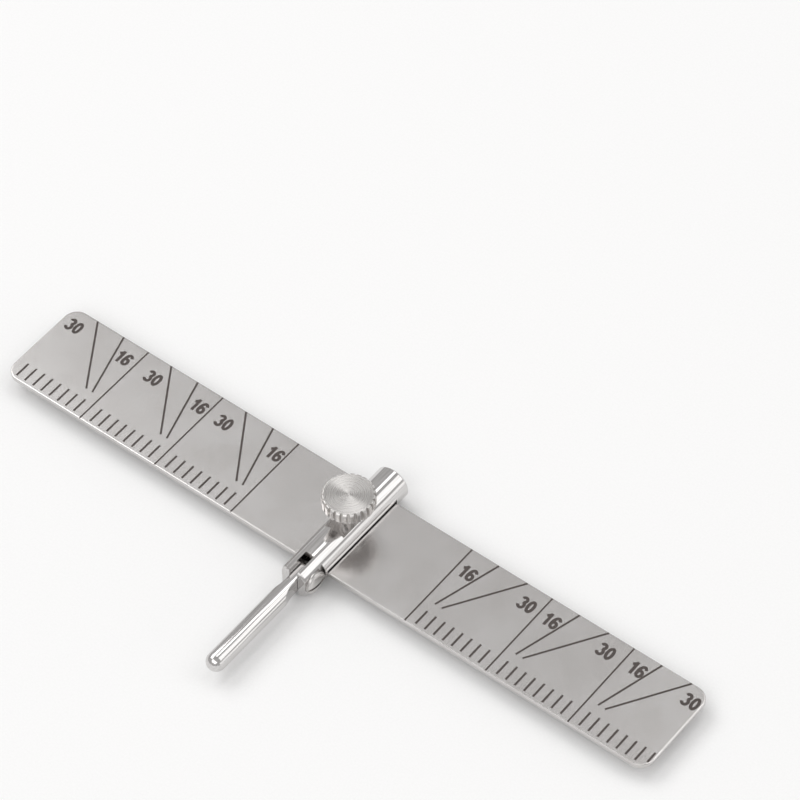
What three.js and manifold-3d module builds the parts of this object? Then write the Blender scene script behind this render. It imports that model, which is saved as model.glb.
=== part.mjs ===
// Marking gauge: a thin graduated steel blade slides through a slotted round bar and is held by a
// knurled thumb screw. A round rod swivels in a fork at the near end of the bar.
//
// Millimetres, +Z up. X runs along the blade and Y along the bar towards its far end. The pieces are
// drawn about the middle of the blade, on the axis of the bar, and the whole group is then moved so
// that the origin lies at the bottom centre of the gauge.

import * as THREE from 'three';
import { mergeVertices } from 'three/addons/utils/BufferGeometryUtils.js';
import Module from 'manifold-3d';

const wasm = await Module();
wasm.setup();

// Blade
const bladeLength = 147;
const bladeWidth = 20;
const bladeThickness = 1;
const bladeCornerRadius = 2.8;
const bladeEdgeBreak = 0.12;

// Holder bar
const barRadius = 3.5;
const barFarEnd = 13.7;
const barNearEnd = -15.4;
const barEndChamfer = 0.35;
const bladeSlotGap = 0.07;
const bladeHeadroom = 0.45;
const bladeTop = -0.1;

// Flat recess on the top of the bar, round the thumb screw
const recessFloor = 2.7;
const recessHalfLength = 4.5;

// Fork
const pivotY = -13;
const forkSlotWidth = 1.85;
const forkSlotEnd = -10.6;
const earFlat = 2.65;
const earFlatEnd = -10.5;
const pivotHoleRadius = 1.25;

// Thumb screw, whose thread is drawn plain
const thumbScrewY = 0.75;
const threadHoleRadius = 1.5;
const threadRadius = 1.44;
const knobRadius = 5;
const knobTop = 9.25;
const knobThickness = 2.65;
const knobChamfer = 0.3;
const knurlCount = 24;
const knurlDepth = 0.36;
const knurlShare = 0.5;
const screwTip = 0.85;

// Pressure pad, between the screw's tip and the blade
const padRadius = 1.42;
const padClearance = 0.03;

// Pivot screw
const pivotRadius = 1.2;
const headRadius = 2.3;
const headThickness = 1.2;
const headChamfer = 0.25;
const driverSlotWidth = 0.6;
const driverSlotDepth = 0.6;
const pivotTailInset = 0.15;

// Swivel rod
const rodRadius = 1.9;
const rodReach = 26;
const tongueThickness = 1.72;
const tongueFlatLength = 3.6;
const runOutRadius = 6.3;

// Facets of a full turn
const fineFacets = 64;
const smallFacets = 32;

// How far a cutter runs past the surface that it cuts
const overrun = 1;

const stainless = { color: 0xb4b3b1, roughness: 0.3, metalness: 1 };
const polishedSteel = { color: 0xc9c8c8, roughness: 0.15, metalness: 1 };
const brass = { color: 0xb08d4c, roughness: 0.35, metalness: 1 };

// A closed geometry as a manifold solid, its shared vertices merged.
function toSolid(geometry) {
  const bare = geometry.clone();
  bare.deleteAttribute('normal');
  bare.deleteAttribute('uv');
  const merged = mergeVertices(bare, 1e-5);
  return new wasm.Manifold(new wasm.Mesh({
    numProp: 3,
    vertProperties: new Float32Array(merged.attributes.position.array),
    triVerts: new Uint32Array(merged.index.array),
  }));
}

// A manifold solid as a geometry with flat facets.
function toGeometry(solid) {
  const mesh = solid.getMesh();
  const geometry = new THREE.BufferGeometry();
  geometry.setAttribute('position', new THREE.BufferAttribute(mesh.vertProperties, 3));
  geometry.setIndex(new THREE.BufferAttribute(mesh.triVerts, 1));
  geometry.computeVertexNormals();
  return geometry;
}

// A solid box between two corners.
function box(low, high) {
  const size = high.map((value, axis) => value - low[axis]);
  const geometry = new THREE.BoxGeometry(...size);
  geometry.translate(...low.map((value, axis) => value + size[axis] / 2));
  return toSolid(geometry);
}

// A turned solid about Y from [radius, y] points that start and end on the axis, lowest y first.
function turned(points, facets) {
  const profile = points.map(([radius, y]) => new THREE.Vector2(radius, y));
  return new THREE.LatheGeometry(profile, facets);
}

// A plain cylinder about Y between two heights.
function rod(radius, low, high, facets) {
  return turned([[0, low], [radius, low], [radius, high], [0, high]], facets);
}

// A flat outline in XY given a height from low to high.
function prism(shape, low, high) {
  const settings = { depth: high - low, bevelEnabled: false, curveSegments: 12 };
  const geometry = new THREE.ExtrudeGeometry(shape, settings);
  geometry.translate(0, 0, low);
  return geometry;
}

// The blade: a flat strip with round corners and broken edges.
function bladeGeometry() {
  const x = bladeLength / 2;
  const y = bladeWidth / 2;
  const r = bladeCornerRadius;
  const outline = new THREE.Shape();
  outline.moveTo(-x + r, -y);
  outline.lineTo(x - r, -y);
  outline.absarc(x - r, -y + r, r, -Math.PI / 2, 0);
  outline.absarc(x - r, y - r, r, 0, Math.PI / 2);
  outline.absarc(-x + r, y - r, r, Math.PI / 2, Math.PI);
  outline.absarc(-x + r, -y + r, r, Math.PI, Math.PI * 1.5);
  const geometry = new THREE.ExtrudeGeometry(outline, {
    depth: bladeThickness - 2 * bladeEdgeBreak,
    bevelThickness: bladeEdgeBreak,
    bevelSize: bladeEdgeBreak,
    bevelOffset: -bladeEdgeBreak,
    bevelSegments: 1,
    curveSegments: 8,
  });
  geometry.translate(0, 0, bladeTop - bladeThickness + bladeEdgeBreak);
  return toGeometry(toSolid(geometry));
}

// The bar: a turned bar with the blade's window, the fork, its two outer flats, the recess on top
// and the holes of both screws cut from it.
function barGeometry() {
  const inner = barRadius - barEndChamfer;
  const far = barRadius + overrun;
  let solid = toSolid(turned([
    [0, barNearEnd],
    [inner, barNearEnd],
    [barRadius, barNearEnd + barEndChamfer],
    [barRadius, barFarEnd - barEndChamfer],
    [inner, barFarEnd],
    [0, barFarEnd],
  ], fineFacets));

  const windowHalf = bladeWidth / 2 + bladeSlotGap;
  const windowLow = bladeTop - bladeThickness - bladeSlotGap;
  const windowHigh = bladeTop + bladeHeadroom;
  solid = solid.subtract(box([-far, -windowHalf, windowLow], [far, windowHalf, windowHigh]));

  const slotHalf = forkSlotWidth / 2;
  const beyondEnd = barNearEnd - overrun;
  solid = solid.subtract(box([-slotHalf, beyondEnd, -far], [slotHalf, forkSlotEnd, far]));
  for (const side of [-1, 1]) {
    const edges = [side * earFlat, side * far].sort((a, b) => a - b);
    solid = solid.subtract(box([edges[0], beyondEnd, -far], [edges[1], earFlatEnd, far]));
  }

  const recessNear = thumbScrewY - recessHalfLength;
  const recessFar = thumbScrewY + recessHalfLength;
  solid = solid.subtract(box([-far, recessNear, recessFloor], [far, recessFar, far]));

  const threadHole = rod(threadHoleRadius, bladeTop, far, smallFacets);
  threadHole.rotateX(Math.PI / 2);
  threadHole.translate(0, thumbScrewY, 0);
  solid = solid.subtract(toSolid(threadHole));

  const pivotHole = rod(pivotHoleRadius, -far, far, smallFacets);
  pivotHole.rotateZ(Math.PI / 2);
  pivotHole.translate(0, pivotY, 0);
  return toGeometry(solid.subtract(toSolid(pivotHole)));
}

// The knob's outline: round, with shallow grooves spaced evenly round it.
function knurlOutline() {
  const pitch = (2 * Math.PI) / knurlCount;
  const half = (pitch * knurlShare) / 2;
  const outline = new THREE.Shape();
  const polar = (radius, angle) => [radius * Math.cos(angle), radius * Math.sin(angle)];
  for (let index = 0; index < knurlCount; index += 1) {
    const middle = index * pitch;
    const start = polar(knobRadius, middle - half);
    if (index === 0) outline.moveTo(...start);
    else outline.lineTo(...start);
    outline.lineTo(...polar(knobRadius - knurlDepth, middle - half / 2));
    outline.lineTo(...polar(knobRadius - knurlDepth, middle + half / 2));
    outline.lineTo(...polar(knobRadius, middle + half));
  }
  outline.closePath();
  return outline;
}

// The thumb screw: a knurled knob and its shank in one piece, drawn about its own axis.
function thumbScrewGeometry() {
  const low = knobTop - knobThickness;
  const inner = knobRadius - knobChamfer;
  const blank = turned([
    [0, low],
    [inner, low],
    [knobRadius, low + knobChamfer],
    [knobRadius, knobTop - knobChamfer],
    [inner, knobTop],
    [0, knobTop],
  ], 2 * knurlCount);
  blank.rotateX(Math.PI / 2);
  const knurl = prism(knurlOutline(), low - overrun, knobTop + overrun);
  const shank = rod(threadRadius, screwTip, low + overrun, smallFacets);
  shank.rotateX(Math.PI / 2);
  return toGeometry(toSolid(blank).intersect(toSolid(knurl)).add(toSolid(shank)));
}

// The pressure pad: a small turned disc that fills the space under the screw's tip.
function padGeometry() {
  const pad = rod(padRadius, bladeTop + padClearance, screwTip - padClearance, smallFacets);
  pad.rotateX(Math.PI / 2);
  return toGeometry(toSolid(pad));
}

// The pivot screw: a slotted cheese head on the right ear and a shank through both ears, drawn
// about Y with its head up and then turned so that the head faces +X.
function pivotScrewGeometry() {
  const under = earFlat;
  const top = under + headThickness;
  const blank = toSolid(turned([
    [0, -earFlat + pivotTailInset],
    [pivotRadius, -earFlat + pivotTailInset],
    [pivotRadius, under],
    [headRadius, under],
    [headRadius, top - headChamfer],
    [headRadius - headChamfer, top],
    [0, top],
  ], smallFacets));
  const half = driverSlotWidth / 2;
  const wide = headRadius + overrun;
  const slot = box([-half, top - driverSlotDepth, -wide], [half, top + overrun, wide]);
  const geometry = toGeometry(blank.subtract(slot));
  geometry.rotateZ(-Math.PI / 2);
  geometry.rotateX(Math.PI / 2);
  return geometry;
}

// The swivel rod: round with a domed tip, its inner end flattened to a tongue with curved run-outs
// and rounded about the pivot. It is drawn about the pivot and reaches towards -Y.
function swivelRodGeometry() {
  const domeCentre = -rodReach + rodRadius;
  const profile = [[0, -rodReach]];
  const domeSteps = 8;
  for (let step = 1; step <= domeSteps; step += 1) {
    const angle = (step / domeSteps) * (Math.PI / 2);
    profile.push([rodRadius * Math.sin(angle), domeCentre - rodRadius * Math.cos(angle)]);
  }
  profile.push([rodRadius, rodRadius], [0, rodRadius]);
  let solid = toSolid(turned(profile, smallFacets));

  const reach = rodReach + overrun;
  const side = new THREE.Shape();
  side.absarc(0, 0, rodRadius, 0, Math.PI);
  side.lineTo(-rodRadius, -reach);
  side.lineTo(rodRadius, -reach);
  side.closePath();
  const sideView = prism(side, -reach, reach);
  sideView.rotateY(Math.PI / 2);
  solid = solid.intersect(toSolid(sideView));

  const half = tongueThickness / 2;
  const outside = rodRadius + overrun;
  const sweep = Math.acos(1 - (outside - half) / runOutRadius);
  for (const turn of [0, Math.PI]) {
    const cut = new THREE.Shape();
    cut.moveTo(half, outside);
    cut.lineTo(half, -tongueFlatLength);
    cut.absarc(half + runOutRadius, -tongueFlatLength, runOutRadius, Math.PI, Math.PI + sweep);
    cut.lineTo(outside, outside);
    cut.closePath();
    const cutter = prism(cut, -reach, reach);
    cutter.rotateY(turn);
    solid = solid.subtract(toSolid(cutter));
  }

  const bore = rod(pivotHoleRadius, -rodRadius, rodRadius, smallFacets);
  bore.rotateZ(Math.PI / 2);
  return toGeometry(solid.subtract(toSolid(bore)));
}

// A named mesh with a material of its own.
function piece(name, geometry, finish) {
  const mesh = new THREE.Mesh(geometry, new THREE.MeshStandardMaterial(finish));
  mesh.name = name;
  return mesh;
}

const gauge = new THREE.Group();

const thumbScrew = new THREE.Group();
thumbScrew.position.y = thumbScrewY;
thumbScrew.add(piece('thumb_screw', thumbScrewGeometry(), stainless));
thumbScrew.add(piece('pressure_pad', padGeometry(), brass));

const fork = new THREE.Group();
fork.position.y = pivotY;
fork.add(piece('pivot_screw', pivotScrewGeometry(), stainless));
fork.add(piece('swivel_rod', swivelRodGeometry(), polishedSteel));

gauge.add(piece('scale_blade', bladeGeometry(), stainless));
gauge.add(piece('holder_bar', barGeometry(), polishedSteel));
gauge.add(thumbScrew);
gauge.add(fork);

const rodTip = pivotY - rodReach;
gauge.position.set(0, -(barFarEnd + rodTip) / 2, barRadius);

export default gauge;
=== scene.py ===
# Marking gauge: a graduated steel blade in a slotted round bar, with a knurled thumb screw and a
# swivelling rod. Pieces are drawn in millimetres about the bar's axis and the blade's middle, then
# scaled to metres and moved onto the frame.
import math

import bmesh
import bpy
import numpy as np
from mathutils import Matrix, Vector


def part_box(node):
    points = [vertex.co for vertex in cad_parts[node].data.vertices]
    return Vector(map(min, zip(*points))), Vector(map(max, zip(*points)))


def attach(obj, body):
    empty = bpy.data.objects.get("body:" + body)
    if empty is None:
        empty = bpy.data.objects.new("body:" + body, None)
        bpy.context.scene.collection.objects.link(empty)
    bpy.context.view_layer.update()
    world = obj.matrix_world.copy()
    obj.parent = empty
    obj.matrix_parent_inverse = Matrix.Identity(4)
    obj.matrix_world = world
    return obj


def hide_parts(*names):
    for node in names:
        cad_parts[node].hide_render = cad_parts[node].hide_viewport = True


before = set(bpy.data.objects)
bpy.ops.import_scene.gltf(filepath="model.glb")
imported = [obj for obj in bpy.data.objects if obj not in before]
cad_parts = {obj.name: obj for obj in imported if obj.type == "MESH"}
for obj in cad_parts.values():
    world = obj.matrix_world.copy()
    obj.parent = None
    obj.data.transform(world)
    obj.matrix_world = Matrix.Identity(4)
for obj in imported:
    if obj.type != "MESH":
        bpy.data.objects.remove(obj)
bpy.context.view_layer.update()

barLow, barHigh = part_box("holder_bar")
bladeLow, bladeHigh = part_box("scale_blade")
bladeMiddle = (bladeLow + bladeHigh) / 2
origin = Vector((bladeMiddle.x, bladeMiddle.y, (barLow.z + barHigh.z) / 2))
toFrame = Matrix.Translation(origin) @ Matrix.Scale(0.001, 4)
mergeGap = 1e-4      # mm, points closer than this are one point
overrun = 1          # mm, how far a cutter starts or ends past what it cuts
sharpAngle = math.radians(32)
noiseLow, noiseHigh = 0.3, 0.7      # nearly all of a noise's values lie between these
scene = bpy.context.scene


def linear(hexColour):
    # sRGB hex to the linear values that shaders take
    values = np.array([int(hexColour[i:i + 2], 16) for i in (1, 3, 5)]) / 255
    curve = np.where(values <= 0.04045, values / 12.92, ((values + 0.055) / 1.055) ** 2.4)
    return (*curve.tolist(), 1.0)


def gridQuads(rows, columns, wrapColumns):
    # quads between neighbouring points of a grid, closed round the columns if asked
    index = np.arange(rows * columns).reshape(rows, columns)
    if wrapColumns:
        index = np.hstack([index, index[:, :1]])
    corners = [index[:-1, :-1], index[1:, :-1], index[1:, 1:], index[:-1, 1:]]
    return np.stack(corners, axis=-1).reshape(-1, 4)


def meshObject(name, points, quads, caps=()):
    # a mesh of quads, and of end faces with more corners, whose faces all point out
    mesh = bpy.data.meshes.new(name)
    mesh.from_pydata(points.reshape(-1, 3).tolist(), [], quads.tolist() + list(caps))
    cleaned = bmesh.new()
    cleaned.from_mesh(mesh)
    bmesh.ops.remove_doubles(cleaned, verts=cleaned.verts, dist=mergeGap)
    bmesh.ops.recalc_face_normals(cleaned, faces=cleaned.faces)
    cleaned.to_mesh(mesh)
    cleaned.free()
    piece = bpy.data.objects.new(name, mesh)
    scene.collection.objects.link(piece)
    return piece


def alongAxis(across, along, height, axis):
    # x, y, z of points given as two coordinates across an axis and one along it
    order = {"X": (height, across, along), "Y": (along, height, across), "Z": (across, along, height)}
    return np.stack(np.broadcast_arrays(*order[axis]), axis=-1)


def turned(name, profile, count, axis):
    # a profile of (radius, height) carried round its axis: across = r cos a, r sin a
    angles = (np.arange(count) + 0.5) * 2 * np.pi / count
    radius, height = profile[:, :1], profile[:, 1:]
    points = alongAxis(radius * np.cos(angles), radius * np.sin(angles), height, axis)
    return meshObject(name, points, gridQuads(len(profile), count, True))


def prism(name, outline, low, high, axis):
    # a flat outline of (across, along) points given a depth, closed at both ends by one face each
    count = len(outline)
    heights = np.array([[low], [high]])
    points = alongAxis(outline[None, :, 0], outline[None, :, 1], heights, axis)
    caps = [list(range(count)), list(range(count, 2 * count))]
    return meshObject(name, points, gridQuads(2, count, True), caps)


def slab(name, low, high):
    # a straight cutter between two corners
    (left, near, bottom), (right, far, top) = low, high
    outline = np.array([[left, near], [right, near], [right, far], [left, far]])
    return prism(name, outline, bottom, top, "Z")


def holeCutter(name, radius, low, high, axis, centre, segments=64):
    # a round cutter from low to high along an axis through centre
    outline = np.array([[0, low], [radius, low], [radius, high], [0, high]], float)
    cutter = turned(name, outline, segments, axis)
    cutter.data.transform(Matrix.Translation(centre))
    return cutter


def roundCorners(points, radius, steps=4, mostOfSide=0.3, beyond=0.5):
    # each inner corner of a profile becomes a short curve that leaves both its sides smoothly:
    # (1-t)^2 start + 2t(1-t) corner + t^2 end; one more point beyond each end keeps flats flat
    points = np.array(points, float)
    corner = points[1:-1]
    back, onward = points[:-2] - corner, points[2:] - corner
    backLength = np.linalg.norm(back, axis=1, keepdims=True)
    onwardLength = np.linalg.norm(onward, axis=1, keepdims=True)
    cut = np.minimum(radius, mostOfSide * np.minimum(backLength, onwardLength))
    start = (corner + back / backLength * cut)[:, None]
    end = (corner + onward / onwardLength * cut)[:, None]
    before = start + beyond * (start - corner[:, None])
    after = end + beyond * (end - corner[:, None])
    t = np.linspace(0, 1, steps)[None, :, None]
    curves = (1 - t) ** 2 * start + 2 * t * (1 - t) * corner[:, None] + t ** 2 * end
    curves = np.concatenate([before, curves, after], axis=1)
    return np.vstack([points[:1], curves.reshape(-1, 2), points[-1:]])


def applied(piece):
    # the piece with its modifiers made part of its mesh
    graph = bpy.context.evaluated_depsgraph_get()
    graph.update()
    mesh = bpy.data.meshes.new_from_object(
        piece.evaluated_get(graph), preserve_all_data_layers=True, depsgraph=graph)
    piece.modifiers.clear()
    piece.data = mesh
    return piece


def carve(piece, cutters, operation="DIFFERENCE"):
    # the piece less the cutters, or only what it shares with them
    for cutter in cutters:
        cut = piece.modifiers.new("cut", "BOOLEAN")
        cut.object = cutter
        cut.operation = operation
        cut.solver = "EXACT"
    applied(piece)
    for cutter in cutters:
        bpy.data.objects.remove(cutter)
    return piece


def easeEdges(piece, width):
    # the small radius that polishing leaves on every cut edge
    piece.data.shade_smooth()
    bevel = piece.modifiers.new("ease", "BEVEL")
    bevel.width = width
    bevel.segments = 2
    bevel.limit_method = "ANGLE"
    bevel.angle_limit = sharpAngle
    bevel.harden_normals = True
    return applied(piece)


def smoothPiece(piece, angle=sharpAngle):
    piece.data.shade_smooth()
    piece.data.set_sharp_from_angle(angle=angle)


def finishPiece(piece, material, body, node=None):
    # moves a piece onto the frame and says what it is made of, rides on and stands for
    piece.data.transform(toFrame)
    piece.data.materials.clear()
    piece.data.materials.append(material)
    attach(piece, body)
    if node:
        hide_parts(node)
    return piece


def addNode(tree, kind, inputs=None, **settings):
    # one node, with its settings, its values and its links
    node = tree.nodes.new(kind)
    for name, value in settings.items():
        setattr(node, name, value)
    for name, value in (inputs or {}).items():
        if isinstance(value, bpy.types.NodeSocket):
            tree.links.new(value, node.inputs[name])
        else:
            node.inputs[name].default_value = value
    return node


def newMaterial(name, **values):
    # an empty material with one shader; values are its sockets, with _ for a space
    material = bpy.data.materials.new(name)
    material.use_nodes = True
    tree = material.node_tree
    tree.nodes.clear()
    sockets = {socket.replace("_", " "): value for socket, value in values.items()}
    shader = addNode(tree, "ShaderNodeBsdfPrincipled", sockets)
    addNode(tree, "ShaderNodeOutputMaterial", {"Surface": shader.outputs["BSDF"]})
    return material, tree, shader


def grain(tree, scale, detail=2.0, roughness=0.5):
    # noise on the piece's own coordinates; scale is in cycles per metre along X, Y, Z
    place = addNode(tree, "ShaderNodeTexCoord")
    stretch = addNode(tree, "ShaderNodeMapping", {"Vector": place.outputs["Object"], "Scale": scale})
    return addNode(tree, "ShaderNodeTexNoise", {
        "Vector": stretch.outputs["Vector"], "Scale": 1.0, "Detail": detail, "Roughness": roughness})


def ramp(tree, factor, low, high, lowColour, highColour):
    # spreads a factor between two stops onto two colours
    node = addNode(tree, "ShaderNodeValToRGB", {"Fac": factor})
    node.color_ramp.elements[0].position = low
    node.color_ramp.elements[0].color = lowColour
    node.color_ramp.elements[1].position = high
    node.color_ramp.elements[1].color = highColour
    return node.outputs["Color"]


def spread(tree, value, fromLow, fromHigh, toLow, toHigh):
    # a value's range carried onto another range
    node = addNode(tree, "ShaderNodeMapRange", {
        "Value": value, "From Min": fromLow, "From Max": fromHigh, "To Min": toLow, "To Max": toHigh})
    return node.outputs["Result"]


# bead-blasted stainless: a grey satin sheet whose fine grain breaks reflections up into sparkle
blasted = dict(dark="#cbc8c6", light="#dbd9d8", grainPerMetre=6500, cloudPerMetre=90,
               roughLow=0.17, roughHigh=0.25, depth=0.0000022)
blastedSteel, tree, shader = newMaterial("bead-blasted stainless, satin", Metallic=1.0)
fine = grain(tree, [blasted["grainPerMetre"]] * 3, 2.0)
cloud = grain(tree, [blasted["cloudPerMetre"]] * 3, 3.0)
both = addNode(tree, "ShaderNodeMath", {0: fine.outputs["Fac"], 1: cloud.outputs["Fac"]}, operation="ADD")
tone = spread(tree, both.outputs[0], 0.7, 1.3, 0, 1)      # the sum's usual range
tree.links.new(ramp(tree, tone, 0.0, 1.0, linear(blasted["dark"]), linear(blasted["light"])),
               shader.inputs["Base Color"])
tree.links.new(
    spread(tree, fine.outputs["Fac"], noiseLow, noiseHigh, blasted["roughLow"], blasted["roughHigh"]),
    shader.inputs["Roughness"])
pits = addNode(tree, "ShaderNodeBump", {
    "Height": fine.outputs["Fac"], "Distance": blasted["depth"], "Strength": 1.0})
tree.links.new(pits.outputs["Normal"], shader.inputs["Normal"])

# polished stainless: near mirror, with hairline streaks along the bar that soften each reflection
polished = dict(dark="#c6c4c3", light="#dedcdb", across=5200, along=130,
                roughLow=0.07, roughHigh=0.15, depth=0.0000012)
polishedSteel, tree, shader = newMaterial("polished stainless, lengthwise", Metallic=1.0)
streak = grain(tree, [polished["across"], polished["along"], polished["across"]], 3.0)
streakColour = ramp(tree, streak.outputs["Fac"], noiseLow, noiseHigh,
                    linear(polished["dark"]), linear(polished["light"]))
tree.links.new(streakColour, shader.inputs["Base Color"])
tree.links.new(
    spread(tree, streak.outputs["Fac"], noiseLow, noiseHigh, polished["roughLow"], polished["roughHigh"]),
    shader.inputs["Roughness"])
lines = addNode(tree, "ShaderNodeBump", {
    "Height": streak.outputs["Fac"], "Distance": polished["depth"], "Strength": 1.0})
tree.links.new(lines.outputs["Normal"], shader.inputs["Normal"])


def turnedMetal(name, centre, axis, style):
    # lathe-turned face: rings round the axis pull every highlight out into a wedge across them
    material, tree, shader = newMaterial(name, Metallic=1.0, Anisotropic=style["anisotropy"])
    place = addNode(tree, "ShaderNodeTexCoord")
    local = addNode(tree, "ShaderNodeVectorMath",
                    {0: place.outputs["Object"], 1: centre}, operation="SUBTRACT")
    across = addNode(tree, "ShaderNodeVectorMath",
                     {0: local.outputs[0], 1: [1.0 - abs(v) for v in axis]}, operation="MULTIPLY")
    radius = addNode(tree, "ShaderNodeVectorMath", {0: across.outputs[0]}, operation="LENGTH")
    scaled = addNode(tree, "ShaderNodeMath",
                     {0: radius.outputs["Value"], 1: style["ringsPerMetre"]}, operation="MULTIPLY")
    rings = addNode(tree, "ShaderNodeTexNoise",
                    {"W": scaled.outputs[0], "Scale": 1.0, "Detail": 3.0}, noise_dimensions="1D")
    tree.links.new(
        ramp(tree, rings.outputs["Fac"], noiseLow, noiseHigh, linear(style["dark"]), linear(style["light"])),
        shader.inputs["Base Color"])
    tree.links.new(
        spread(tree, rings.outputs["Fac"], noiseLow, noiseHigh, style["roughLow"], style["roughHigh"]),
        shader.inputs["Roughness"])
    # the tangent runs round the axis, as the tool's marks do
    around = addNode(tree, "ShaderNodeVectorMath", {0: local.outputs[0], 1: axis}, operation="CROSS_PRODUCT")
    inWorld = addNode(tree, "ShaderNodeVectorTransform", {"Vector": around.outputs[0]},
                      vector_type="VECTOR", convert_from="OBJECT", convert_to="WORLD")
    unit = addNode(tree, "ShaderNodeVectorMath", {0: inWorld.outputs[0]}, operation="NORMALIZE")
    tree.links.new(unit.outputs[0], shader.inputs["Tangent"])
    grooves = addNode(tree, "ShaderNodeBump", {
        "Height": rings.outputs["Fac"], "Distance": style["depth"], "Strength": 1.0})
    tree.links.new(grooves.outputs["Normal"], shader.inputs["Normal"])
    return material


# turned stainless: rings 0.125 mm apart, coarser than the lathe's own so that they show
turnedStyle = dict(dark="#c3c0be", light="#dad8d6", ringsPerMetre=8000, roughLow=0.2, roughHigh=0.3,
                   anisotropy=0.88, depth=0.0000009)

# machined brass: warm yellow, satin rings from facing
brassStyle = dict(dark="#a8854a", light="#c8a766", ringsPerMetre=7000, roughLow=0.24, roughHigh=0.36,
                  anisotropy=0.4, depth=0.000002)

# etched mark: the steel burnt to a dull brown-black that takes no reflection
etched = dict(dark="#383230", light="#564d49", grainPerMetre=5000, darkAt=0.35, lightAt=0.65)
etchedMark, tree, shader = newMaterial("etched mark, dull brown-black", Roughness=0.6)
soot = grain(tree, [etched["grainPerMetre"]] * 3, 2.0)
sootColour = ramp(tree, soot.outputs["Fac"], etched["darkAt"], etched["lightAt"],
                  linear(etched["dark"]), linear(etched["light"]))
tree.links.new(sootColour, shader.inputs["Base Color"])
print("materials made")


# mm about the origin
bladeBox = (np.array(bladeLow - origin) * 1000, np.array(bladeHigh - origin) * 1000)
blade = dict(
    halfLength=(bladeBox[1][0] - bladeBox[0][0]) / 2,
    halfWidth=(bladeBox[1][1] - bladeBox[0][1]) / 2,
    top=bladeBox[1][2],
    under=bladeBox[0][2],
    corner=2.8,
    arris=0.17,
    arrisSteps=7,
    cornerSteps=16,
    sharp=60,
)


def bladeMesh():
    # rings of a rounded rectangle, each at an inset and a height, from the middle of the top face
    # over the eased edge, a quarter round, to the middle of the underside
    arc = np.linspace(0, np.pi / 2, blade["arrisSteps"])
    arris = blade["arris"]
    inset = np.concatenate([[blade["halfWidth"], blade["corner"], arris * 2], arris * (1 - np.sin(arc))])
    drop = np.concatenate([[0, 0, 0], arris * (1 - np.cos(arc))])
    inset = np.concatenate([inset, inset[::-1]])[:, None]
    height = np.concatenate([blade["top"] - drop, blade["under"] + drop[::-1]])[:, None]
    turn = np.linspace(0, np.pi / 2, blade["cornerSteps"])
    angles = np.concatenate([turn + quarter * np.pi / 2 for quarter in range(4)])
    signX = np.repeat([1, -1, -1, 1], blade["cornerSteps"])
    signY = np.repeat([1, 1, -1, -1], blade["cornerSteps"])
    radius = np.maximum(blade["corner"] - inset, 0)
    # a ring deeper in than the corner's radius keeps square corners
    centreX = blade["halfLength"] - np.maximum(inset, blade["corner"])
    centreY = blade["halfWidth"] - np.maximum(inset, blade["corner"])
    x = signX * centreX + radius * np.cos(angles)
    y = signY * centreY + radius * np.sin(angles)
    points = np.stack([x, y, np.broadcast_to(height, x.shape)], axis=-1)
    return meshObject("scaleBlade", points, gridQuads(len(points), points.shape[1], True))


scaleBlade = bladeMesh()
smoothPiece(scaleBlade, math.radians(blade["sharp"]))
finishPiece(scaleBlade, blastedSteel, "blade", "scale_blade")


# mm; x from the blade's middle, y up from its front edge; each mark is a closed strip a hair proud.
# slants: how far outward of a long line each starts, and its angle; no ticks between the gap's two
marks = dict(
    pitch=2.0, count=73, shift=0.8, gapFrom=27, gapTo=45, tickFrom=0.75, tickTo=4.15, cornerGap=0.5,
    slantFrom=6.2, slants=((2.13, 16), (3.6, 33)), tickWidth=0.43, slantWidth=0.4, lineWidth=0.33,
    edge=0.14, proud=0.008, sunk=0.05, numbers=("16", "30"), numberHeight=2.9, figureStep=1.7,
    figureInset=0.07, penWidth=0.62, strokeLift=0.001, strokeSteps=25, underLines=9,
)
# the long cross lines, by tick, and how far outward and up from each its two numbers' middles lie
fullLines = {
    8: ((2.9, 16.0), (15.2, 16.3)),
    17: ((2.3, 15.6), (13.3, 15.6)),
    26: ((2.1, 15.4), (14.1, 15.4)),
    46: ((2.5, 15.2), (15.2, 16.0)),
    55: ((2.7, 15.8), (14.4, 16.3)),
    64: ((3.0, 16.5), (14.6, 16.6)),
}


def strips(starts, ends, widths, face):
    # closed strips: each end's four corners are start or end, half a width to either side, above
    # and below the face
    starts, ends = np.array(starts, float), np.array(ends, float)
    along = (ends - starts) / np.linalg.norm(ends - starts, axis=1, keepdims=True)
    side = np.stack([-along[:, 1], along[:, 0]], axis=1) * np.reshape(widths, (-1, 1)) / 2
    ring = np.stack([starts - side, ends - side, ends + side, starts + side], axis=1)
    proud = marks["proud"] if face > 0 else -marks["proud"]
    level = blade["top"] if face > 0 else blade["under"]
    heights = np.array([level + proud, level - np.sign(face) * marks["sunk"]])
    count = len(starts)
    points = np.empty((count, 2, 4, 3))
    points[..., :2] = ring[:, None]
    points[..., 2] = heights[None, :, None]
    pattern = np.array([[0, 1, 2, 3], [7, 6, 5, 4], [0, 4, 5, 1], [1, 5, 6, 2], [2, 6, 7, 3], [3, 7, 4, 0]])
    faces = (np.arange(count)[:, None, None] * 8 + pattern[None]).reshape(-1, 4)
    return points.reshape(-1, 3), faces


def bend(centre, radii, fromDegrees, toDegrees):
    # part of an ellipse, as points
    angles = np.radians(np.linspace(fromDegrees, toDegrees, marks["strokeSteps"]))
    return np.stack([centre[0] + radii[0] * np.cos(angles), centre[1] + radii[1] * np.sin(angles)], axis=1)


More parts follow.
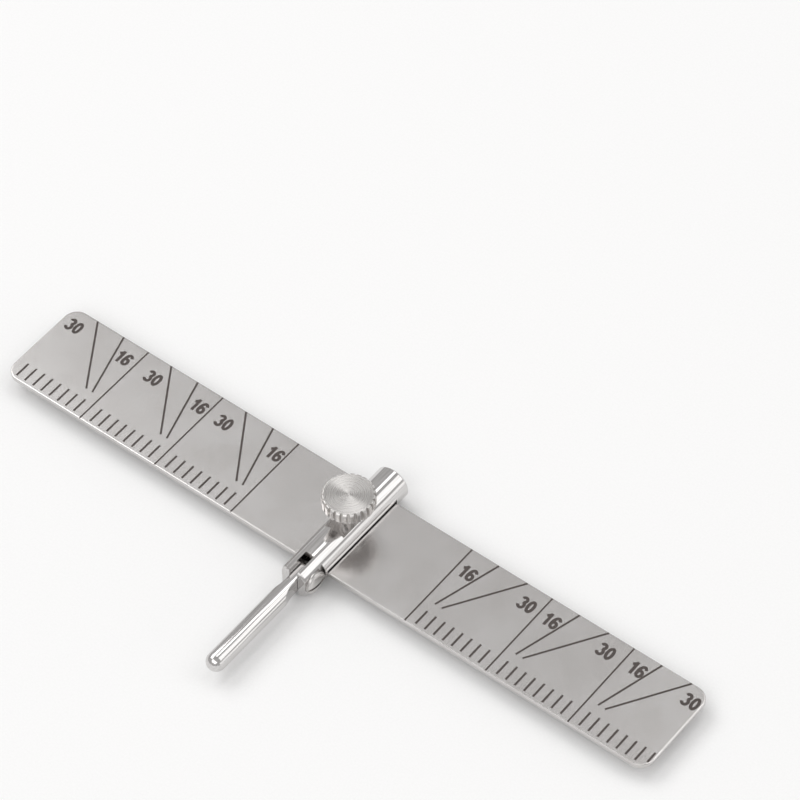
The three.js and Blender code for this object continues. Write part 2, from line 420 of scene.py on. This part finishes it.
# the middle lines of bold figures, in shares of their height: each is drawn in one or two strokes
figureStrokes = {
    "0": [bend((0.27, 0.5), (0.18, 0.41), 0, 360)],
    "1": [np.array([(0.36, 0.0), (0.36, 1.0)]), np.array([(0.12, 0.70), (0.27, 0.79), (0.36, 0.92)])],
    "3": [bend((0.25, 0.725), (0.17, 0.185), 165, -90), bend((0.25, 0.315), (0.195, 0.225), 90, -165)],
    "6": [bend((0.27, 0.315), (0.18, 0.225), 0, 360), bend((0.32, 0.42), (0.23, 0.49), 195, 40)],
}


def penStroke(path, width, lift):
    # a closed strip along a path: two edges half a width to either side, above and below the face
    along = np.gradient(path, axis=0)
    along = along / np.linalg.norm(along, axis=1, keepdims=True)
    side = np.stack([-along[:, 1], along[:, 0]], axis=1) * width / 2
    upper, lower = blade["top"] + marks["proud"] + lift, blade["top"] - marks["sunk"]
    edges = [(path - side, upper), (path + side, upper), (path + side, lower), (path - side, lower)]
    points = np.stack([np.column_stack([edge, np.full(len(path), level)]) for edge, level in edges], axis=1)
    last = 4 * (len(path) - 1)
    ends = [[0, 1, 2, 3], [last + 3, last + 2, last + 1, last]]
    return points.reshape(-1, 3), np.vstack([gridQuads(len(path), 4, True), ends])


def number(text, x, y):
    # upright figures side by side about x, y; a second stroke lies a hair higher than the first
    groups = []
    for place, figure in enumerate(text):
        left = x + (place - 1) * marks["figureStep"] + marks["figureInset"]
        corner = np.array([left, y - marks["numberHeight"] / 2])
        for order, path in enumerate(figureStrokes[figure]):
            path = corner + path * marks["numberHeight"]
            groups.append(penStroke(path, marks["penWidth"], order * marks["strokeLift"]))
    return groups


def tickX(index):
    return (index - (marks["count"] - 1) / 2) * marks["pitch"] + marks["shift"]


front = -blade["halfWidth"]
starts, ends, widths = [], [], []
for index in range(marks["count"]):
    x = tickX(index)
    if not marks["gapFrom"] <= index <= marks["gapTo"] and index not in fullLines:
        # a tick beside a round corner starts clear of its arc
        beyond = max(abs(x) + marks["tickWidth"] / 2 - blade["halfLength"] + blade["corner"], 0)
        rise = blade["corner"] - math.sqrt(blade["corner"] ** 2 - beyond ** 2)
        low = max(marks["tickFrom"], rise + marks["cornerGap"])
        starts.append((x, front + low))
        ends.append((x, front + marks["tickTo"]))
        widths.append(marks["tickWidth"])
figures = []
back = blade["halfWidth"] - marks["edge"]
for index, places in fullLines.items():
    x = tickX(index)
    outward = math.copysign(1, x)
    starts.append((x, front + marks["edge"]))
    ends.append((x, back))
    widths.append(marks["lineWidth"])
    for out, angle in marks["slants"]:
        rise = back - (front + marks["slantFrom"])
        starts.append((x + outward * out, front + marks["slantFrom"]))
        ends.append((x + outward * (out + rise * math.tan(math.radians(angle))), back))
        widths.append(marks["slantWidth"])
    for text, (out, up) in zip(marks["numbers"], places):
        figures += number(text, x + outward * out, front + up)

groups = [strips(starts, ends, widths, 1)] + figures
bases = np.cumsum([0] + [len(points) for points, _ in groups[:-1]])
points = np.vstack([points for points, _ in groups])
faces = np.vstack([faces + base for (_, faces), base in zip(groups, bases)])
scaleMarks = meshObject("scaleMarks", points, faces)
finishPiece(scaleMarks, etchedMark, "blade")

# the plain face has only cross lines, a tenth of the length apart
tenth = 2 * blade["halfLength"] / (marks["underLines"] + 1)
across = -blade["halfLength"] + tenth * (1 + np.arange(marks["underLines"]))
starts, ends = [np.stack([across, np.full_like(across, y)], axis=1) for y in (-back, back)]
widths = np.full_like(across, marks["lineWidth"])
plainFaceMarks = meshObject("plainFaceMarks", *strips(starts, ends, widths, -1))
finishPiece(plainFaceMarks, etchedMark, "blade")
print("blade and its marks made")


# mouthFlat is its x and its lower edge; recess is its near end, its far end and its floor
bar = dict(
    radius=3.5, farEnd=13.7, nearEnd=-15.4, chamfer=0.35, rounding=0.08, segments=128,
    windowGap=0.07, headroom=0.45, lipLine=0.56, lineDepth=0.11, lineFlare=0.9,
    mouthFlat=(3.38, -2.1), recess=(-3.75, 5.25, 2.7), forkHalf=0.925, forkEnd=-10.6,
    earFlat=2.65, earFlatEnd=-10.5, threadY=0.75, threadHole=1.5, threadGap=0.02,
    pivotY=-13.0, pivotHole=1.25, ease=0.06,
)


def barMesh():
    inner = bar["radius"] - bar["chamfer"]
    profile = roundCorners([
        (0, bar["nearEnd"]), (inner, bar["nearEnd"]), (bar["radius"], bar["nearEnd"] + bar["chamfer"]),
        (bar["radius"], bar["farEnd"] - bar["chamfer"]), (inner, bar["farEnd"]), (0, bar["farEnd"]),
    ], bar["rounding"])
    body = turned("holderBar", profile, bar["segments"], "Y")
    wide, past = bar["radius"] + overrun, bar["nearEnd"] - overrun
    windowHalf = blade["halfWidth"] + bar["windowGap"]
    windowLow, windowHigh = blade["under"] - bar["windowGap"], blade["top"] + bar["headroom"]
    recessNear, recessFar, recessFloor = bar["recess"]
    # each mouth of the blade's window lies in a shallow flat, with a fine line along its top edge
    lineZ = windowHigh + bar["lipLine"]
    lineX = math.sqrt(bar["radius"] ** 2 - lineZ ** 2)
    flatX, flatLow = bar["mouthFlat"]
    flare = bar["lineFlare"]
    bite = np.array([[lineX - bar["lineDepth"], lineZ], [wide, lineZ - flare], [wide, lineZ + flare]])
    alongY = Matrix.Rotation(math.radians(-90), 4, "X")
    lipLines = []
    for side in (1, -1):
        line = prism("lipLine", bite * [side, -1], -windowHalf, windowHalf, "Z")
        line.data.transform(alongY)
        lipLines.append(line)
    return carve(body, lipLines + [
        slab("window", (-wide, -windowHalf, windowLow), (wide, windowHalf, windowHigh)),
        slab("rightMouth", (flatX, -windowHalf, flatLow), (wide, windowHalf, lineZ)),
        slab("leftMouth", (-wide, -windowHalf, flatLow), (-flatX, windowHalf, lineZ)),
        slab("fork", (-bar["forkHalf"], past, -wide), (bar["forkHalf"], bar["forkEnd"], wide)),
        slab("rightEar", (bar["earFlat"], past, -wide), (wide, bar["earFlatEnd"], wide)),
        slab("leftEar", (-wide, past, -wide), (-bar["earFlat"], bar["earFlatEnd"], wide)),
        slab("recess", (-wide, recessNear, recessFloor), (wide, recessFar, wide)),
        holeCutter("thread", bar["threadHole"], blade["top"] + bar["threadGap"], wide, "Z",
                   (0, bar["threadY"], 0)),
        holeCutter("pivot", bar["pivotHole"], -wide, wide, "X", (0, bar["pivotY"], 0)),
    ])


holderBar = easeEdges(barMesh(), bar["ease"])
finishPiece(holderBar, polishedSteel, "holder", "holder_bar")
print("holder bar made", len(holderBar.data.polygons))


# grooveSide is the share of a groove's half width that its sloping sides take; neckFlare is how far
# out and how high the shank widens under the knob
knob = dict(
    y=bar["threadY"], radius=5.0, top=9.25, bottom=6.6, chamfer=0.32, rounding=0.1, grooves=24,
    samples=26, grooveDepth=0.46, grooveShare=0.40, grooveSide=0.4, neckFlare=(0.25, 0.2), tip=0.85,
    tipTaper=0.25, threadRadius=1.44, threadDepth=0.24, threadPitch=0.5, threadSteps=10,
    threadTop=6.3, runIn=0.6, runOut=0.3,
)


def knobMesh():
    # every ring's radius is the turned profile's or the knurl's, whichever is smaller; the knurl
    # falls from the knob's radius into each groove with smooth sides
    edge = knob["radius"] - knob["chamfer"]
    shank, tip, pitch = knob["threadRadius"], knob["tip"], knob["threadPitch"]
    flareOut, flareUp = knob["neckFlare"]
    profile = roundCorners([
        (0, knob["top"]), (edge, knob["top"]), (knob["radius"], knob["top"] - knob["chamfer"]),
        (knob["radius"], knob["bottom"] + knob["chamfer"]), (edge, knob["bottom"]),
        (shank + flareOut, knob["bottom"]), (shank, knob["bottom"] - flareUp), (shank, knob["threadTop"]),
    ], knob["rounding"])
    count = knob["grooves"] * knob["samples"]
    angles = np.arange(count) * 2 * np.pi / count
    share = (angles * knob["grooves"] / (2 * np.pi)) % 1
    fromMiddle = np.abs(share - 0.5) / (knob["grooveShare"] / 2)
    fall = np.clip((1 + knob["grooveSide"] / 2 - fromMiddle) / knob["grooveSide"], 0, 1)
    knurl = knob["radius"] - knob["grooveDepth"] * fall ** 2 * (3 - 2 * fall)
    radius = np.minimum(profile[:, :1], knurl)
    # the thread: from crest to root and back once a pitch, climbing one pitch each turn
    # and fading at both ends, where the tip tapers
    heights = np.arange(knob["threadTop"], tip, -pitch / knob["threadSteps"])[:, None]
    phase = (heights / pitch - angles / (2 * np.pi)) % 1
    flank = np.abs(2 * phase - 1)
    fade = np.clip((knob["threadTop"] - heights) / knob["runIn"], 0, 1)
    fade = fade * np.clip((heights - tip) / knob["runOut"], 0, 1)
    taper = knob["tipTaper"] * np.clip(1 - (heights - tip) / knob["tipTaper"], 0, 1)
    thread = shank - knob["threadDepth"] * flank * fade - taper
    rings = np.vstack([radius, thread, np.zeros((1, count))])
    levels = np.concatenate([profile[:, 1], heights[:, 0], [tip]])[:, None]
    points = alongAxis(rings * np.cos(angles), rings * np.sin(angles), levels, "Z")
    points[..., 1] += knob["y"]
    return meshObject("thumbScrew", points, gridQuads(len(points), count, True))


thumbScrew = knobMesh()
smoothPiece(thumbScrew)
screwAxis = toFrame @ Vector((0, knob["y"], 0))
knobSteel = turnedMetal("turned stainless, fine rings", screwAxis, (0, 0, 1), turnedStyle)
finishPiece(thumbScrew, knobSteel, "screw", "thumb_screw")
print("thumb screw made", len(thumbScrew.data.polygons))


pad = dict(radius=1.42, low=-0.07, high=0.82, chamfer=0.15, rounding=0.05, segments=96)
inner = pad["radius"] - pad["chamfer"]
padProfile = roundCorners([
    (0, pad["low"]), (inner, pad["low"]), (pad["radius"], pad["low"] + pad["chamfer"]),
    (pad["radius"], pad["high"] - pad["chamfer"]), (inner, pad["high"]), (0, pad["high"]),
], pad["rounding"])
pressurePad = turned("pressurePad", padProfile, pad["segments"], "Z")
pressurePad.data.transform(Matrix.Translation((0, knob["y"], 0)))
smoothPiece(pressurePad)
padBrass = turnedMetal("machined brass, satin", screwAxis, (0, 0, 1), brassStyle)
finishPiece(pressurePad, padBrass, "pad", "pressure_pad")


pivot = dict(shank=1.2, head=2.3, thickness=1.2, rim=0.5, rounding=0.12, tailChamfer=0.12,
             slotWidth=0.5, slotDepth=0.62, tailInset=0.15, segments=96, domeSteps=16, ease=0.04)


def pivotMesh():
    under, top = bar["earFlat"], bar["earFlat"] + pivot["thickness"]
    tail = -bar["earFlat"] + pivot["tailInset"]
    rim = under + pivot["rim"]
    stem = roundCorners([
        (0, tail), (pivot["shank"] - pivot["tailChamfer"], tail),
        (pivot["shank"], tail + pivot["tailChamfer"]), (pivot["shank"], under),
        (pivot["head"], under), (pivot["head"], rim),
    ], pivot["rounding"])
    # the head's top is a quarter of an ellipse from its rim to its middle
    sweep = np.linspace(0, np.pi / 2, pivot["domeSteps"])[1:]
    dome = np.stack([pivot["head"] * np.cos(sweep), rim + (top - rim) * np.sin(sweep)], axis=1)
    screw = turned("pivotScrew", np.vstack([stem, dome]), pivot["segments"], "X")
    half, wide = pivot["slotWidth"] / 2, pivot["head"] + overrun
    carve(screw, [slab("driverSlot", (top - pivot["slotDepth"], -wide, -half), (top + overrun, wide, half))])
    easeEdges(screw, pivot["ease"])
    screw.data.transform(Matrix.Translation((0, bar["pivotY"], 0)))
    return screw


pivotScrew = pivotMesh()
pivotAxis = toFrame @ Vector((0, bar["pivotY"], 0))
pivotSteel = turnedMetal("turned stainless, screw head", pivotAxis, (1, 0, 0), turnedStyle)
finishPiece(pivotScrew, pivotSteel, "holder", "pivot_screw")


# reach is from the pivot to the domed tip; runOut is the radius on which the tongue's flats end
rod = dict(radius=1.9, reach=26.0, tongue=1.72, flatLength=3.6, runOut=6.3, segments=96, domeSteps=14,
           endSteps=49, runOutSteps=24, cutterHalf=9.0, ease=0.05)


def rodMesh():
    # a round rod with a domed tip, cut down to a flat tongue at its inner end
    domeCentre = -rod["reach"] + rod["radius"]
    sweep = np.linspace(0, np.pi / 2, rod["domeSteps"])
    dome = np.stack([rod["radius"] * np.sin(sweep), domeCentre - rod["radius"] * np.cos(sweep)], axis=1)
    profile = np.vstack([dome, [[rod["radius"], rod["radius"]], [0, rod["radius"]]]])
    body = turned("swivelRod", profile, rod["segments"], "Y")
    # seen from the side the inner end is a half round about the pivot
    arc = np.linspace(-np.pi / 2, np.pi / 2, rod["endSteps"])
    past, deep = -rod["reach"] - overrun, rod["cutterHalf"]
    side = np.stack([rod["radius"] * np.cos(arc), rod["radius"] * np.sin(arc)], axis=1)
    side = np.vstack([side, [[past, rod["radius"]], [past, -rod["radius"]]]])
    carve(body, [prism("sideView", side, -deep, deep, "X")], "INTERSECT")
    # the flats that leave the tongue, each running out on a curve
    half, outside = rod["tongue"] / 2, rod["radius"] + overrun
    turn = np.linspace(0, math.acos(1 - (outside - half) / rod["runOut"]), rod["runOutSteps"])
    curveX = half + rod["runOut"] * (1 - np.cos(turn))
    curveY = -rod["flatLength"] - rod["runOut"] * np.sin(turn)
    outline = np.vstack([[[half, outside]], np.stack([curveX, curveY], axis=1), [[outside, outside]]])
    carve(body, [
        prism("rightFlat", outline, -deep, deep, "Z"),
        prism("leftFlat", outline[::-1] * [-1, 1], -deep, deep, "Z"),
        holeCutter("bore", bar["pivotHole"], -rod["radius"], rod["radius"], "X", (0, 0, 0)),
    ])
    easeEdges(body, rod["ease"])
    body.data.transform(Matrix.Translation((0, bar["pivotY"], 0)))
    return body


swivelRod = rodMesh()
finishPiece(swivelRod, polishedSteel, "rod", "swivel_rod")
print("screws and rod made", len(pivotScrew.data.polygons), len(swivelRod.data.polygons))


# metres; the paper lies just under the bar. Matt white paper: its fibres give the faintest mottle
studio = dict(floorHalf=3, floorDrop=0.0002, floorDark="#f7f7f7", floorLight="#fafafa",
              fibresPerMetre=2500, sky="#f8f7f6", skyStrength=0.56)
floorMaterial, tree, shader = newMaterial("matt white paper", Roughness=0.9)
fibre = grain(tree, [studio["fibresPerMetre"]] * 3, 2.0)
paperColour = ramp(tree, fibre.outputs["Fac"], noiseLow, noiseHigh,
                   linear(studio["floorDark"]), linear(studio["floorLight"]))
tree.links.new(paperColour, shader.inputs["Base Color"])
half = studio["floorHalf"]
floorMesh = bpy.data.meshes.new("floor")
floorMesh.from_pydata(
    [(-half, -half, 0), (half, -half, 0), (half, half, 0), (-half, half, 0)], [], [(0, 1, 2, 3)])
floorMesh.materials.append(floorMaterial)
floor = bpy.data.objects.new("floor", floorMesh)
floor.location.z = -studio["floorDrop"]
scene.collection.objects.link(floor)

world = bpy.data.worlds.new("studio")
world.use_nodes = True
sky = world.node_tree.nodes["Background"].inputs
sky["Color"].default_value = linear(studio["sky"])
sky["Strength"].default_value = studio["skyStrength"]
scene.world = world


def panel(name, lean, spread, radiance, near, far, distance=2.5):
    # a flat lamp along Y, leaning from overhead towards +X, spread degrees to either side; near and
    # far are its ends along Y in distances; power = radiance x area x pi
    lean, spread = math.radians(lean), math.radians(spread)
    lamp = bpy.data.lights.new(name, "AREA")
    lamp.shape = "RECTANGLE"
    lamp.size = 2 * distance * math.tan(spread)
    lamp.size_y = (far - near) * distance
    lamp.energy = radiance * lamp.size * lamp.size_y * math.pi
    light = bpy.data.objects.new(name, lamp)
    light.location = (distance * math.sin(lean), distance * (near + far) / 2, distance * math.cos(lean))
    light.rotation_euler = (0, lean, 0)
    scene.collection.objects.link(light)
    return light


# a narrow and a wide panel behind give the bar its two bright bands, one overhead lifts the blade
# and the knob's turned top, and a low one in front fills the shadows
panel("stripPanel", -6, 7, 2.0, 0.25, 0.95)
panel("broadPanel", 38, 19, 1.02, 0.25, 0.95)
panel("topPanel", -39, 14, 2.35, -0.4, 0.42)
panel("frontPanel", 10, 38, 1.4, -1.9, -0.6)
panel("sidePanel", 79, 9, 0.8, -0.2, 1.2)

# metres and degrees; azimuth is the way the picture's own level lies, and roll tips it
view = dict(location=(0.30852, -0.35043, 0.62528), forward=(-0.3984, 0.4894, -0.7757),
            azimuth=39.143, roll=-1.413, lens=195.4, sensor=36, clip=0.01)
forward = Vector(view["forward"]).normalized()
azimuth, roll = math.radians(view["azimuth"]), math.radians(view["roll"])
level = Vector((math.cos(azimuth), math.sin(azimuth), 0))
right = level * math.cos(roll) + level.cross(forward) * math.sin(roll)
upward = right.cross(forward)
camera = bpy.data.objects.new("camera", bpy.data.cameras.new("camera"))
camera.data.sensor_width = view["sensor"]
camera.data.lens = view["lens"]
camera.data.clip_start = view["clip"]
turn = Matrix((right, upward, -forward)).transposed().to_4x4()
camera.matrix_world = Matrix.Translation(view["location"]) @ turn
scene.collection.objects.link(camera)
scene.camera = camera
scene.view_settings.view_transform = "Standard"
print("stage set")
